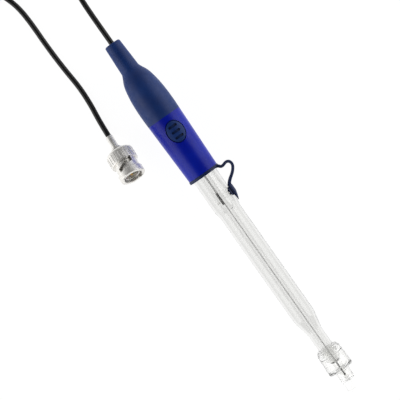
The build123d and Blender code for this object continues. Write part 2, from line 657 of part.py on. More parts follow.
def coupling_nut():
    """Bayonet nut: fluted rear, slotted neck and front flange with the stud notches."""
    neck_start = NUT_START + NUT_REAR_LENGTH
    flange_start = NUT_END - NUT_FLANGE_LENGTH
    nut = turned([
        (NUT_START, SHANK_R + RUNNING_FIT), (NUT_START, NUT_R, NUT_RIM_ROUND),
        (neck_start, NUT_R, 0.4), (neck_start, NUT_NECK_R),
        (flange_start, NUT_NECK_R), (flange_start, NUT_FLANGE_R, 0.3),
        (NUT_END, NUT_FLANGE_R, 0.4), (NUT_END, NUT_BORE_R),
        (NUT_CHAMBER_END, NUT_BORE_R), (NUT_CHAMBER_END, NUT_CHAMBER_R),
        (NUT_START + NUT_WALL, NUT_CHAMBER_R), (NUT_START + NUT_WALL, SHANK_R + RUNNING_FIT)])
    flute_length = NUT_REAR_LENGTH - 2.2
    flute = Pos(NUT_START + 1.7 + flute_length / 2, 0, NUT_R + 0.2) * Rot(0, 90, 0) * Cylinder(
        FLUTE_R, flute_length)
    nut = nut - ring_of(flute, FLUTES)
    middle = (neck_start + flange_start) / 2
    slab = Pos(middle, 0, 0) * Rot(0, 0, BAYONET_TILT) * Box(BAYONET_SLOT, 20, 20)
    span = Pos(middle, 0, (NUT_BORE_R + NUT_NECK_R) / 2) * Box(12, 2 * BAYONET_HALF_SPAN, 5)
    slot = slab & span
    notch_start = middle + 1.0
    notch = Rot(45, 0, 0) * Pos((notch_start + NUT_END + 1) / 2, 0, STUD_NOTCH_R - 1.5) * Box(
        NUT_END + 1 - notch_start, STUD_NOTCH_WIDTH, 3)
    return nut - ring_of(slot, 2) - ring_of(notch, 2)


# ---- cable ----------------------------------------------------------------------------------------------------
# Route points are (along the probe from the boot's mouth, Y from the probe's axis, height).
FLAT = CABLE_R              # height of a stretch that lies on the table
BOOT_TO_COIL = [
    (0.0, 0.0, LIFT), (-8.0, 0.0, 10.15), (-17.0, 0.0, 9.0), (-27.0, 0.2, 6.4),
    (-37.0, 1.4, 4.1), (-47.0, 3.8, 3.2), (-56.0, 6.3, 3.6), (-64.0, 7.3, 3 * FLAT)]
COIL_TO_PLUG = [
    (-66.0, -34.8, FLAT), (-59.0, -34.1, FLAT), (-51.0, -30.7, FLAT), (-43.0, -28.1, FLAT),
    (-33.0, -27.3, FLAT), (-18.0, -27.5, FLAT), (-4.0, -27.0, FLAT), (8.0, -26.0, FLAT),
    (18.0, -26.4, FLAT), (26.0, -27.4, FLAT), (31.0, -27.85, FLAT), (34.9, -28.09, FLAT + 0.01),
    (PLUG_HEEL_S, PLUG_HEEL_Y, PLUG_HEEL_Z)]


def cable_tube(route):
    """Round tube along straight runs joined by arcs as large as the runs allow."""
    points = [Vector(s - ORIGIN_S, y - ORIGIN_Y, z) for s, y, z in route]
    radii = []
    for a, b, c in zip(points, points[1:], points[2:]):
        turn = math.radians((b - a).get_angle(c - b))
        shorter = min((b - a).length, (c - b).length)
        radii.append(0.45 * shorter / math.tan(turn / 2))
    print("cable radii", [round(r, 1) for r in radii])
    path = FilletPolyline(*points, radius=radii)
    solid = sweep(Plane(origin=path @ 0, z_dir=path % 0) * Circle(CABLE_R), path=path)
    print("cable length %.1f volume ratio %.4f" % (
        path.length, solid.volume / (math.pi * CABLE_R ** 2 * path.length)))
    return solid


def cable_from_boot():
    return cable_tube(BOOT_TO_COIL)


def cable_to_plug():
    return cable_tube(COIL_TO_PLUG)


def cable_coil():
    """Outer shape of the coiled lead: one flat ring of turns laid side by side in layers."""
    width = COIL_COLUMNS * 2 * CABLE_R
    height = COIL_LAYERS * 2 * CABLE_R
    section = Plane.XZ * Pos(COIL_R, height / 2) * RectangleRounded(width, height, COIL_CORNER_R)
    return Pos(COIL_CENTRE_S - ORIGIN_S, COIL_CENTRE_Y - ORIGIN_Y, 0) * revolve(section, Axis.Z)


# ---- nodes ----------------------------------------------------------------------------------------------------------
PROBE_NODES = [
    strain_relief_boot, cap_body, thumb_pad, strap_ring, stopper_strap, fill_hole_stopper,
    outer_glass_body, reference_chamber, ph_stem, sensing_bulb, ceramic_junction,
    inner_ceramic_junction, reference_element, reference_lead_wire, internal_lead_wire,
    internal_element, epoxy_potting, top_seal, stem_seal, shaft_o_ring, cable_clamp,
    cable_tail_jacket, cable_tail_shield, cable_tail_core, shield_drain_wire,
    core_splice_sleeve, shield_splice_sleeve, wetting_cap, wetting_cap_seal]
PLUG_NODES = [
    plug_ferrule, plug_cable_core, plug_body, plug_contact_sleeve, plug_insulator, plug_pin,
    plug_gasket, retaining_ring, thrust_washer, wave_washer, coupling_nut]
TABLE_NODES = [cable_from_boot, cable_coil, cable_to_plug]


def write_nodes(makers, place):
    for maker in makers:
        export_step(place * maker(), "parts/%s.step" % maker.__name__)


os.makedirs("parts", exist_ok=True)
write_nodes(PROBE_NODES, PROBE_PLACE)
write_nodes(PLUG_NODES, PLUG_PLACE)
write_nodes(TABLE_NODES, Location())
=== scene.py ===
# %% [markdown]
# # A glass electrode for water testing, dressed round its CAD frame
# The imported CAD model holds every part at its real size and place.  This lesson leaves those
# parts where they are, gives each one the finish of its real material, and makes the soft things:
# the coiled lead, the rubber strap and the stopper.  All lengths are in metres unless a
# name ends in _MM, and everything stands in the CAD model's own frame, with the table at height
# zero.

# %% Load the frame
import json
import math

import bmesh
import bpy
import numpy as np
from mathutils import Matrix, Vector


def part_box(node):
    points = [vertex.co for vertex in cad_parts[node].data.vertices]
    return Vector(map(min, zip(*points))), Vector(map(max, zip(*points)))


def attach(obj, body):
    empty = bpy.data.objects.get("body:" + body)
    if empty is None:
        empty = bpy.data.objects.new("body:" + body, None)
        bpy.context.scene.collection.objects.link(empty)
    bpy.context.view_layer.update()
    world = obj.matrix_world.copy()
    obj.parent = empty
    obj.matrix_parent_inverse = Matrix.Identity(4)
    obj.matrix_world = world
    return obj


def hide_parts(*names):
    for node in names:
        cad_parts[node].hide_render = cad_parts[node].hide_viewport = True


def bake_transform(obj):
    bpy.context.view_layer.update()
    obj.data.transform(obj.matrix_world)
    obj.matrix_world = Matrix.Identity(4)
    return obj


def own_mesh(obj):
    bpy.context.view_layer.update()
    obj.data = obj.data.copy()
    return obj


MM = 0.001


def in_mm(point, digits=1):
    """A point in millimetres, rounded, for what the cells print."""
    return [round(v / MM, digits) for v in point]


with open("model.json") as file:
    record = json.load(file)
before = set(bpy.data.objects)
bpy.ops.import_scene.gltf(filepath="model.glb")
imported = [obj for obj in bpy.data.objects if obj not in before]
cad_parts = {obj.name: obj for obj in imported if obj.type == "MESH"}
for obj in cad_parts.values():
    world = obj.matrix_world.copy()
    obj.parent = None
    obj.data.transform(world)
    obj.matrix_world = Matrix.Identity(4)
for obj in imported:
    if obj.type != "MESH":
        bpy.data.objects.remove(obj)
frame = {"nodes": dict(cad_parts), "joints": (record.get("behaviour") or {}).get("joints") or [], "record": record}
bpy.context.view_layer.update()
nodes = frame["nodes"]
joints = {joint["name"]: joint for joint in frame["joints"]}
mounts = {mount["name"]: mount for mount in frame["record"]["mounts"]}

# %% [markdown]
# ## Two directions that everything hangs on
# The electrode is not quite level: it lies on its boot's shoulder and on the wetting cap.  Its
# axis is the direction in which the wetting cap slides off.  The plug has an axis of its own,
# round which its nut turns.  Both are read from the joints, so nothing is fitted by eye.

# %% Axes and the cable's exit
electrode_axis = Vector(joints["wetting_cap_slide"]["axis"]).normalized()
plug_axis = Vector(joints["nut_turn"]["axis"]).normalized()
plug_centre = Vector(joints["nut_turn"]["pos_m"])
shaft_middle = Vector(mounts["shaft"]["pos_m"])
boot_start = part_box("strain_relief_boot")[0].x
cable_exit = shaft_middle + electrode_axis * ((boot_start - shaft_middle.x) / electrode_axis.x)
print("cable leaves the boot at", in_mm(cable_exit, 2))

# %% [markdown]
# ## The camera
# A slim object shows best from almost straight above, from about a metre away, laid across the
# frame's diagonal.  A long lens keeps its two ends the same size.  The camera is placed by the
# point it looks at, the direction that is up in the frame, a small lean off the vertical, and the
# width it takes in.  Its three axes are worked out from those and put together as one rotation.

# %% Camera
VIEW_UP = Vector((-0.817, 0.576, 0.0)).normalized()  # what is up in the frame
CAMERA_LEAN = math.radians(1.5)  # off the vertical, towards VIEW_UP
CAMERA_DISTANCE = 1.0
FIELD_WIDTH = 0.2  # what the frame takes in at the electrode's height
CAMERA_AIM = Vector((-17.1, -10.9, 9.0)) * MM


def link(piece):
    """Puts a new object in the scene and hands it back."""
    bpy.context.scene.collection.objects.link(piece)
    return piece


camera_data = bpy.data.cameras.new("camera")
camera_data.sensor_width = 36.0
camera_data.lens = camera_data.sensor_width * CAMERA_DISTANCE / FIELD_WIDTH
camera_data.clip_start, camera_data.clip_end = 0.01, 20.0
camera = link(bpy.data.objects.new("camera", camera_data))
bpy.context.scene.camera = camera
camera_back = Vector((0, 0, math.cos(CAMERA_LEAN))) + VIEW_UP * math.sin(CAMERA_LEAN)
camera_right = VIEW_UP.cross(camera_back).normalized()
camera_up = camera_back.cross(camera_right)
camera_axes = Matrix((camera_right, camera_up, camera_back)).transposed()
camera.rotation_mode = "QUATERNION"
camera.rotation_quaternion = camera_axes.to_quaternion()
camera.location = CAMERA_AIM + camera_back * CAMERA_DISTANCE
print("lens", round(camera_data.lens), "mm")

# %% [markdown]
# ## The wave washer
# Inside the plug's nut a wavy ring of spring steel pushes the nut back.  When the nut is pressed
# forward by two millimetres, the ring is squeezed nearly flat against the plug's flange.  A rigid
# ring would cut through the washer next to it.  The copy made here joins the CAD ring's loose
# triangles at their corners and does not flatten.

# %% Copy the wave washer
SAME_CORNER = 1e-7  # corners nearer to each other than this are one corner


def merged_copy(node, name):
    """A copy of a CAD node's mesh with its loose triangles joined at their corners."""
    work = bmesh.new()
    work.from_mesh(node.data)
    bmesh.ops.remove_doubles(work, verts=work.verts, dist=SAME_CORNER)
    mesh = bpy.data.meshes.new(name)
    work.to_mesh(mesh)
    work.free()
    return link(bpy.data.objects.new(name, mesh))


spring = merged_copy(nodes["wave_washer"], "spring_steel_wave_washer")
corners = np.zeros(3 * len(spring.data.vertices))
spring.data.vertices.foreach_get("co", corners)
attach(spring, "probe")
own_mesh(spring)
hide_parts("wave_washer")

# %% [markdown]
# ## The lead
# The lead is a thin coaxial cable, 2.8 mm across, about a metre long from the boot to the plug.
# It could be a tube swept along straight runs and arcs, but that looks like bent wire.  A NURBS
# spline is drawn towards its control points without passing through them, and bends the way a
# jacketed cable does, with no straight runs and no corners.  The lead leaves the boot level, sags
# to the table, is wound in a neat flat coil of two layers, and comes back to the plug along the
# table.  The turns of the coil are worked out by a rule, because they repeat.

# %% Route of the lead
coil_low, coil_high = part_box("cable_coil")
coil_centre = (coil_low + coil_high) / 2
COIL_LAYERS = 2
CABLE_D = (coil_high.z - coil_low.z) / COIL_LAYERS
CABLE_R = CABLE_D / 2

# Past the cable's exit in X and in Y, and above the table, in mm.
BOOT_TO_COIL_MM = [
    (0.0, 0.0, cable_exit.z / MM), (-8.0, 0.0, 10.15), (-17.0, 0.0, 9.0), (-27.0, 0.2, 6.4),
    (-37.0, 1.4, 4.1), (-47.0, 3.8, 3.2), (-56.0, 6.3, 3.6), (-64.0, 7.3, 4.2)]
COIL_TO_PLUG_MM = [
    (-66.0, -34.8, 1.4), (-59.0, -34.1, 1.4), (-51.0, -30.7, 1.4), (-43.0, -28.1, 1.4),
    (-33.0, -27.3, 1.4), (-18.0, -27.5, 1.4), (-4.0, -27.0, 1.4), (8.0, -26.0, 1.4),
    (18.0, -26.4, 1.4), (26.0, -27.4, 1.4), (31.0, -27.85, 1.4), (34.9, -28.09, 1.41),
    (37.0, -28.2, 2.3)]

COIL_COLUMNS = 4
COIL_TURNS = 7.5
POINTS_PER_TURN = 24
STEP_SHARE = 0.14  # the last share of each turn, in which it moves to the next place
STEP_BULGE = 0.9 * CABLE_R  # how far the turn that drops a layer swings inwards


def on_table(route_mm):
    """Route points in metres: the exit's own X and Y are added to the first two numbers."""
    offset = np.array([cable_exit.x, cable_exit.y, 0.0])
    return np.array(route_mm) * MM + offset


def coil_points():
    """The coil's control points.  Point k stands at angle 90 degrees plus k steps, at the radius
    and height of the place that its turn has in the bundle: outermost to innermost in the top
    layer, then innermost to outermost in the bottom one.  In the last share of a turn the place
    moves on to the next by a smooth step, three times its square less twice its cube, and the
    turn that drops a layer swings inwards by a half wave of a sine."""
    turn = np.arange(int(COIL_TURNS * POINTS_PER_TURN) + 1) / POINTS_PER_TURN
    part = np.clip((turn % 1 - (1 - STEP_SHARE)) / STEP_SHARE, 0, 1)
    place = np.floor(turn) + part ** 2 * (3 - 2 * part)
    outer = (coil_high.x - coil_low.x) / 2 - CABLE_R
    radii = outer - CABLE_D * np.arange(COIL_COLUMNS)
    places = np.arange(COIL_LAYERS * COIL_COLUMNS)
    radius = np.interp(place, places, np.concatenate([radii, radii[::-1]]))
    top, bottom = CABLE_D + CABLE_R, CABLE_R
    height = np.interp(place, [COIL_COLUMNS - 1, COIL_COLUMNS], [top, bottom])
    dropping = np.clip(place - (COIL_COLUMNS - 1), 0, 1)
    radius = radius - STEP_BULGE * np.sin(np.pi * dropping)
    radius = radius / math.cos(math.pi / POINTS_PER_TURN)  # the spline runs inside its points
    angle = np.pi / 2 + 2 * np.pi * turn
    return np.stack([coil_centre.x + radius * np.cos(angle),
                     coil_centre.y + radius * np.sin(angle), height], axis=1)


lead_points = np.concatenate([on_table(BOOT_TO_COIL_MM), coil_points(), on_table(COIL_TO_PLUG_MM)])
print("lead control points", len(lead_points))

# %% Make the lead as one curve
SECTION_STEPS = 5  # how finely the section's circle is divided
SPLINE_STEPS = 6  # divisions of the curve for each control point


def cord_curve(name, points, diameter):
    """A round cord: one open NURBS spline of order 3 that starts and ends at its end points.  The
    bevel is a circle of one metre, and each point's own radius scales it to the cord's, because a
    curve's box is measured with that radius."""
    curve = bpy.data.curves.new(name, "CURVE")
    curve.dimensions = "3D"
    curve.bevel_depth = 1.0
    curve.bevel_resolution = SECTION_STEPS
    curve.resolution_u = SPLINE_STEPS
    curve.use_fill_caps = True
    spline = curve.splines.new("NURBS")
    spline.points.add(len(points) - 1)
    spline.points.foreach_set("co", np.column_stack([points, np.ones(len(points))]).ravel())
    spline.points.foreach_set("radius", np.full(len(points), diameter / 2))
    spline.order_u = 3
    spline.use_endpoint_u = True
    return link(bpy.data.objects.new(name, curve))


lead = cord_curve("coaxial_lead", lead_points, CABLE_D)
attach(lead, "probe")
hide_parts("cable_from_boot", "cable_coil", "cable_to_plug")

# %% [markdown]
# ## Surfaces made from a grid
# The stopper and its strap are rubber mouldings: short, soft-edged forms that CAD only blocked
# out.  They could be boxes with bevelled edges, but a formula gives the soft outline directly.
# Each piece is a grid of points, with rows along it and columns round it.  A helper joins the grid
# into faces and closes both ends, so that each piece is a solid skin that faces outwards.


# %% Helpers for grids
def grid_faces(rows, columns, first=0):
    """Four-cornered faces of a grid whose columns close round, as an array of vertex numbers."""
    row, column = np.meshgrid(np.arange(rows - 1), np.arange(columns), indexing="ij")
    after = (column + 1) % columns
    faces = np.stack([row * columns + column, row * columns + after,
                      (row + 1) * columns + after, (row + 1) * columns + column], axis=-1)
    return faces.reshape(-1, 4) + first


def skin(name, grids):
    """A mesh piece of several closed grids.  Each grid is rows by columns by 3, and its first and
    last rows are shut with one many-sided face each.  At the end every face is turned outwards."""
    points, faces, first = [], [], 0
    for grid in grids:
        rows, columns = grid.shape[:2]
        points.append(grid.reshape(-1, 3))
        faces += grid_faces(rows, columns, first).tolist()
        faces.append(list(range(first + columns - 1, first - 1, -1)))
        faces.append(list(range(first + (rows - 1) * columns, first + rows * columns)))
        first += rows * columns
    mesh = bpy.data.meshes.new(name)
    mesh.from_pydata(np.concatenate(points).tolist(), [], faces)
    work = bmesh.new()
    work.from_mesh(mesh)
    bmesh.ops.recalc_face_normals(work, faces=work.faces)
    work.to_mesh(mesh)
    work.free()
    mesh.polygons.foreach_set("use_smooth", np.ones(len(mesh.polygons), bool))
    mesh.update()
    return link(bpy.data.objects.new(name, mesh))


def smooth_path(points, count):
    """A soft line near the points: a cubic B-spline, in which each place is a blend of four points
    in a row, weighted (1-t)^3, 3t^3-6t^2+4, -3t^3+3t^2+3t+1 and t^3, all over 6.  The end points
    are taken three times, so the line starts and ends on them."""
    p = np.array(points, float)
    p = np.concatenate([p[:1], p[:1], p, p[-1:], p[-1:]])
    u = np.linspace(0, len(p) - 3 - 1e-9, count)
    i, t = u.astype(int), (u % 1)[:, None]
    return ((1 - t) ** 3 * p[i] + (3 * t ** 3 - 6 * t ** 2 + 4) * p[i + 1]
            + (-3 * t ** 3 + 3 * t ** 2 + 3 * t + 1) * p[i + 2] + t ** 3 * p[i + 3]) / 6


# %% [markdown]
# ## The strap that keeps the stopper
# On the real electrode one rubber moulding holds the ring round the cap, a strap as thick as a
# match, and the stopper for the fill hole.  The strap leaves the ring, arches out and comes down
# to the stopper.  It is a round section carried along a smooth path that lies in one plane, so
# the section's two directions are simply the plane's normal and the path's own normal.  The real
# strap bends at its root when the stopper is pulled out: the root stays with the electrode, and
# the arch swings with the stopper.  A curve object with a bevel would look the same at rest, and a
# mesh could be bent between two bodies, but this strap is made at rest and is not attached to one.

# %% Directions at the fill hole
hinge = joints["stopper_swing"]
strap_root = np.array(hinge["pos_m"])
sideways = np.array(Vector(hinge["axis"]).normalized())
along = np.array(electrode_axis)
outwards = np.cross(sideways, along)
outwards *= np.sign(outwards @ (strap_root - np.array(shaft_middle)))
print("fill hole faces", outwards.round(3))

# %% Make the strap
STRAP_THICKNESS_MM = 1.75
STRAP_ROWS = 72
STRAP_ROUTE_MM = [  # along the electrode and outwards, from the strap's root
    (-0.1, -1.6), (0.2, -0.6), (1.5, 0.3), (1.5, 1.9), (0.7, 3.6), (1.1, 5.7), (3.4, 6.4),
    (5.4, 5.2), (7.3, 3.2), (8.7, 0.9), (10.2, -0.9), (11.6, -1.7)]


def round_bar(path, radius, normal, columns=24):
    """A round section carried along a flat path: each ring is the path's point plus radius times
    (cosine times the plane's normal plus sine times the path's own normal)."""
    tangent = np.gradient(path, axis=0)
    tangent /= np.linalg.norm(tangent, axis=1, keepdims=True)
    across = np.cross(tangent, normal)
    angle = np.linspace(0, 2 * np.pi, columns, endpoint=False)[None, :, None]
    ring = np.cos(angle) * normal + np.sin(angle) * across[:, None, :]
    return path[:, None, :] + radius[:, None, None] * ring


def stopper_strap():
    """The strap's thickness is 0.88 of its nominal size in the slimmest place, a little before the
    middle, and grows with the cube of the distance from there, so that it flows into the ring at
    one end and into the stopper at the other."""
    route = [strap_root + MM * (a * along + b * outwards) for a, b in STRAP_ROUTE_MM]
    path = smooth_path(route, STRAP_ROWS)
    share = np.linspace(0, 1, len(path))
    thickness = STRAP_THICKNESS_MM * (0.88 + 0.3 * np.abs(2 * share - 0.9) ** 3)
    return skin("rubber_strap", [round_bar(path, MM * thickness / 2, sideways)])


strap = stopper_strap()
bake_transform(strap)
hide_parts("stopper_strap")
print("strap faces", len(strap.data.polygons))

# %% [markdown]
# ## The stopper
# The stopper is a tapered pin that plugs the hole, a curved foot that hugs the glass and a pointed
# pull tab.  Moulded rubber has no sharp edges, so each part is a stack of rounded outlines: a
# superellipse, which is a rectangle with soft corners, swells and shrinks along the piece.  All
# three parts are placed from the middle of the fill hole, in directions along the electrode,
# outwards and sideways, so their sizes can be written as one would measure them.

# %% Where the stopper sits
HOLE_FROM_ROOT_MM = 14.1  # along the electrode, from the strap's root to the middle of the hole
BARREL_R_MM = 6.7
axis_at_root = np.array(shaft_middle) + along * ((strap_root - np.array(shaft_middle)) @ along)


def hole_point(a, b, c):
    """Points in metres from mm along the electrode past the hole, outwards from the axis and
    sideways: the hole's place on the axis plus each number times its own direction.  The three
    may be arrays."""
    a, b, c = (np.asarray(v, float)[..., None] * MM for v in (a, b, c))
    return axis_at_root + (HOLE_FROM_ROOT_MM * MM + a) * along + b * outwards + c * sideways


def soft_outline(columns, squareness):
    """A superellipse: cosine and sine, each raised to 2/squareness with its sign kept."""
    angle = np.linspace(0, 2 * np.pi, columns, endpoint=False)
    c, s = np.cos(angle), np.sin(angle)
    power = 2 / squareness
    return np.sign(c) * np.abs(c) ** power, np.sign(s) * np.abs(s) ** power


print("hole at", in_mm(hole_point(0, BARREL_R_MM, 0)))

# %% [markdown]
# ### The pull tab
# The tab is what the fingers grip: blunt where the strap runs into it, full over the hole, and
# drawn out to a point that stands a little off the glass, so that a nail can get under it.

# %% The pull tab
TAB_START_MM, TAB_LENGTH_MM = -3.6, 9.5
TAB_GAP_MM = 0.62  # from the glass to the tab's underside, where the foot lies between them
TAB_HEIGHT_MM, TAB_HALF_WIDTH_MM = 1.75, 1.55
TAB_BLUNT_SHARE, TAB_POINT_SHARE = 0.16, 0.52  # the shares of its length that round off and taper
TAB_LIFT_MM = 0.25  # how much the pointed end stands up


def pull_tab(columns=32, rows=40):
    """Outlines run along the electrode.  Height and width follow the smaller of two curves: a
    quarter circle at the strap's end, and a power of what is left of the length at the pointed
    end.  Rows stand closer together at both ends, by a cosine."""
    share = (1 - np.cos(np.linspace(0, np.pi, rows))) / 2
    along_mm = TAB_START_MM + TAB_LENGTH_MM * share
    blunt = np.sqrt(np.clip(1 - (1 - np.clip(share / TAB_BLUNT_SHARE, 0, 1)) ** 2, 0, 1))
    point = np.clip((1 - share) / TAB_POINT_SHARE, 0, 1) ** 0.75
    full = np.minimum(blunt, point) + 0.004  # the ends stay a little open, so that no face is lost
    height, width = TAB_HEIGHT_MM * full, TAB_HALF_WIDTH_MM * full
    middle = BARREL_R_MM + TAB_GAP_MM + 0.5 * height + TAB_LIFT_MM * (1 - point)
    y, x = soft_outline(columns, 2.8)
    return hole_point(along_mm[:, None] + 0 * x, middle[:, None] + 0.5 * height[:, None] * y,
                      width[:, None] * x)


# %% [markdown]
# ### The foot and the pin
# The foot is a thin pad bent to the glass, which keeps dust out of the hole, and the pin is what
# plugs it.  The foot's outlines run round the barrel and the pin's lie across it, because each
# grid's rows should follow the direction in which the part is long.

# %% The foot and the pin
FOOT_GAP_MM = 0.12  # from the glass to the foot
FOOT_THICK_MM, FOOT_HALF_LENGTH_MM = 0.95, 2.5
FOOT_HALF_ARC = math.radians(21.0)
PIN_TIP_MM, PIN_LENGTH_MM = 5.32, 2.0  # the tip's distance from the axis, and the pin's length
PIN_TIP_R_MM, PIN_WIDENS_MM = 1.15, 0.5


def foot(columns=40, rows=26):
    """A pad bent round the glass: outlines run sideways round the barrel, each with soft corners
    in its length and thickness, and shrink to nothing at the two ends of the arc, as the root of
    one minus the share of the arc to the power 3.5."""
    share = np.linspace(-1, 1, rows)
    full = np.sqrt(np.clip(1 - np.abs(share) ** 3.5, 0, 1)) + 0.01
    angle = FOOT_HALF_ARC * share
    x, y = soft_outline(columns, 4.0)
    middle = BARREL_R_MM + FOOT_GAP_MM + FOOT_THICK_MM / 2
    radius = middle + 0.5 * FOOT_THICK_MM * y[None, :] * full[:, None]
    a = FOOT_HALF_LENGTH_MM * x[None, :] * full[:, None]
    return hole_point(a, radius * np.cos(angle)[:, None], radius * np.sin(angle)[:, None])


def pin(columns=32, rows=14):
    """A tapered round pin: its radius grows evenly from tip to root, and over the first fifth it
    rises from the tip by the root of one minus the fourth power of what is left."""
    share = np.linspace(0, 1, rows)
    out = PIN_TIP_MM + PIN_LENGTH_MM * share
    soft_tip = np.sqrt(np.clip(1 - (1 - np.clip(share / 0.2, 0, 1)) ** 4, 0.02, 1))
    radius = (PIN_TIP_R_MM + PIN_WIDENS_MM * share) * soft_tip
    angle = np.linspace(0, 2 * np.pi, columns, endpoint=False)
    return hole_point(radius[:, None] * np.sin(angle), out[:, None] + 0 * angle,
                      radius[:, None] * np.cos(angle))


stopper = skin("rubber_stopper", [pull_tab(), foot(), pin()])
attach(stopper, "stopper")
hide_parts("fill_hole_stopper")
print("stopper faces", len(stopper.data.polygons))

# %% [markdown]
# ## Materials
# Every finish below starts from a real material and from how its surface was made.  Colours are
# written as the sRGB values one would read off a swatch, and one function turns them to the linear
# values that light works in.  Pattern sizes are given in millimetres on the piece.


# %% Colour, nodes and pattern size
def linear(swatch):
    """sRGB hex to linear RGBA: a channel c is c/12.92 up to 0.04045, and above that it is
    ((c+0.055)/1.055)^2.4."""
    channels = [int(swatch[i:i + 2], 16) / 255 for i in (1, 3, 5)]
    return tuple(c / 12.92 if c <= 0.04045 else ((c + 0.055) / 1.055) ** 2.4
                 for c in channels) + (1.0,)


def add(tree, kind, inputs=None, **settings):
    """Adds a node.  Settings are its properties; inputs are values, or outputs to link from."""
    node = tree.nodes.new(kind)
    for name, value in settings.items():
        setattr(node, name, value)
    for name, value in (inputs or {}).items():
        if isinstance(value, bpy.types.NodeSocket):
            tree.links.new(value, node.inputs[name])
        else:
            node.inputs[name].default_value = value
    return node


def per_metre(size_mm):
    """A texture's scale for a pattern whose cells are this many millimetres across."""
    return 1.0 / (size_mm * MM)


def surface(name, **sockets):
    """A new material with one Principled shader, whose plain values are set on its own sockets."""
    material = bpy.data.materials.new(name)
    material.use_nodes = True
    tree = material.node_tree
    tree.nodes.clear()
    inputs = {key.replace("_", " "): value for key, value in sockets.items()}
    shader = add(tree, "ShaderNodeBsdfPrincipled", inputs)
    add(tree, "ShaderNodeOutputMaterial", {"Surface": shader.outputs["BSDF"]})
    return material, tree, shader


def place(tree, centre=(0, 0, 0), axis=(1, 0, 0), stretch=(1, 1, 1)):
    """Object coordinates, centred on a piece and turned so that X runs along its axis."""
    turn = Vector(axis).rotation_difference(Vector((1, 0, 0)))
    coordinates = add(tree, "ShaderNodeTexCoord")
    moved = add(tree, "ShaderNodeVectorMath", {0: coordinates.outputs["Object"], 1: tuple(centre)},
                operation="SUBTRACT")
    return add(tree, "ShaderNodeMapping",
               {"Vector": moved.outputs["Vector"], "Rotation": turn.to_euler(), "Scale": stretch},
               vector_type="POINT").outputs["Vector"]


print("a 2 mm pattern has the scale", per_metre(2.0))

# %% [markdown]
# ### Patterns that several finishes share
# No real surface is one colour or quite smooth.  Three small recipes cover what happens to moulded,
# drawn and turned parts: a slow drift of tone, a gloss that drifts and fine relief.  A fourth darkens
# hollows with painted shade.  Each is a chain of nodes, so a finish only has to say how large and
# how strong.


# %% Tone, gloss, relief and hollows
def tone(tree, vector, size_mm, dark, light):
    """A slow drift between two near tones of one colour.  Noise of that size stays mostly near its
    middle, so the ramp reaches its two tones at 0.35 and 0.65."""
    noise = add(tree, "ShaderNodeTexNoise",
                {"Vector": vector, "Scale": per_metre(size_mm), "Detail": 3.0})
    ramp = add(tree, "ShaderNodeValToRGB", {"Fac": noise.outputs["Fac"]})
    first, last = ramp.color_ramp.elements
    first.position, last.position = 0.35, 0.65
    first.color, last.color = linear(dark), linear(light)
    return ramp.outputs["Color"]


def spread(tree, vector, size_mm, low, high, detail=2.0):
    """A number that drifts between low and high, from noise of that size."""
    noise = add(tree, "ShaderNodeTexNoise",
                {"Vector": vector, "Scale": per_metre(size_mm), "Detail": detail})
    return add(tree, "ShaderNodeMapRange",
               {"Value": noise.outputs["Fac"], "From Min": 0.3, "From Max": 0.7,
                "To Min": low, "To Max": high}).outputs["Result"]


def skin_relief(tree, vector, *layers):
    """Fine relief as a normal.  Each layer is noise with a size in mm, a depth in mm and a detail,
    and lies on the one before."""
    below = {}
    for size_mm, depth_mm, detail in layers:
        noise = add(tree, "ShaderNodeTexNoise",
                    {"Vector": vector, "Scale": per_metre(size_mm), "Detail": detail})
        bump = add(tree, "ShaderNodeBump",
                   {"Height": noise.outputs["Fac"], "Distance": depth_mm * MM, **below})
        below = {"Normal": bump.outputs["Normal"]}
    return below["Normal"]


def painted_hollow_shade(tree, colour, reach_mm, share):
    """A colour that goes down to that share of itself in hollows about this deep: painted shade where
    light hardly reaches."""
    # Painted shade: the colour darkens where the surface is closed in.
    hollow = add(tree, "ShaderNodeAmbientOcclusion", {"Distance": reach_mm * MM}, samples=16)
    amount = add(tree, "ShaderNodeMapRange", {"Value": hollow.outputs["AO"], "From Min": 0.5,
                                              "From Max": 0.95, "To Min": share, "To Max": 1.0})
    return add(tree, "ShaderNodeVectorMath", {0: colour, "Scale": amount.outputs["Result"]},
               operation="SCALE").outputs["Vector"]


def connect(tree, shader, **sockets):
    """Links a finish's patterns to the shader's sockets of those names."""
    for name, output in sockets.items():
        tree.links.new(output, shader.inputs[name.replace("_", " ")])


# %% [markdown]
# ### Navy thermoplastic rubber
# Boot, thumb pad, ring, strap and stopper are moulded from a soft rubber in a mould that was
# spark-eroded, which leaves a dull, finely pitted skin.  It scatters light widely, with a faint
# pale bloom, and shows slow changes of tone where the melt flowed.  Spark erosion leaves pits of
# about 0.3 mm, over a waviness of one or two millimetres.  Noise draws both, because it has no
# seams and no direction, as the real skin has none.


# %% Rubber
def moulded_rubber(name, dark, light):
    """Two layers of pits, a wide soft gloss, a thin sheen for the bloom, and painted shade in the hollows."""
    material, tree, shader = surface(name, IOR=1.5, Specular_IOR_Level=0.35, Sheen_Weight=0.02,
                                     Sheen_Roughness=0.45, Sheen_Tint=linear("#6f86bd"))
    vector = place(tree)
    flow = tone(tree, vector, 9.0, dark, light)
    # Painted shade: the base colour darkens in hollows.
    connect(tree, shader, Base_Color=painted_hollow_shade(tree, flow, 1.4, 0.35),
            Roughness=spread(tree, vector, 2.5, 0.44, 0.58),
            Normal=skin_relief(tree, vector, (0.28, 0.035, 3.0), (1.6, 0.02, 2.0)))
    return material


rubber = moulded_rubber("moulded_navy_rubber", "#0d3070", "#11387c")
strap_rubber = moulded_rubber("moulded_dark_navy_rubber", "#0b1f4c", "#0e2554")
print("rubbers", rubber.name, strap_rubber.name)

# %% [markdown]
# ### Blue ABS
# The cap is injection-moulded ABS from a polished mould, a full, deep blue.  Polished plastic
# reflects like a thin clear coat, but the surface is never flat: shrinkage leaves a soft orange
# peel a millimetre or two across, and handling leaves hairline marks that blur the gloss.


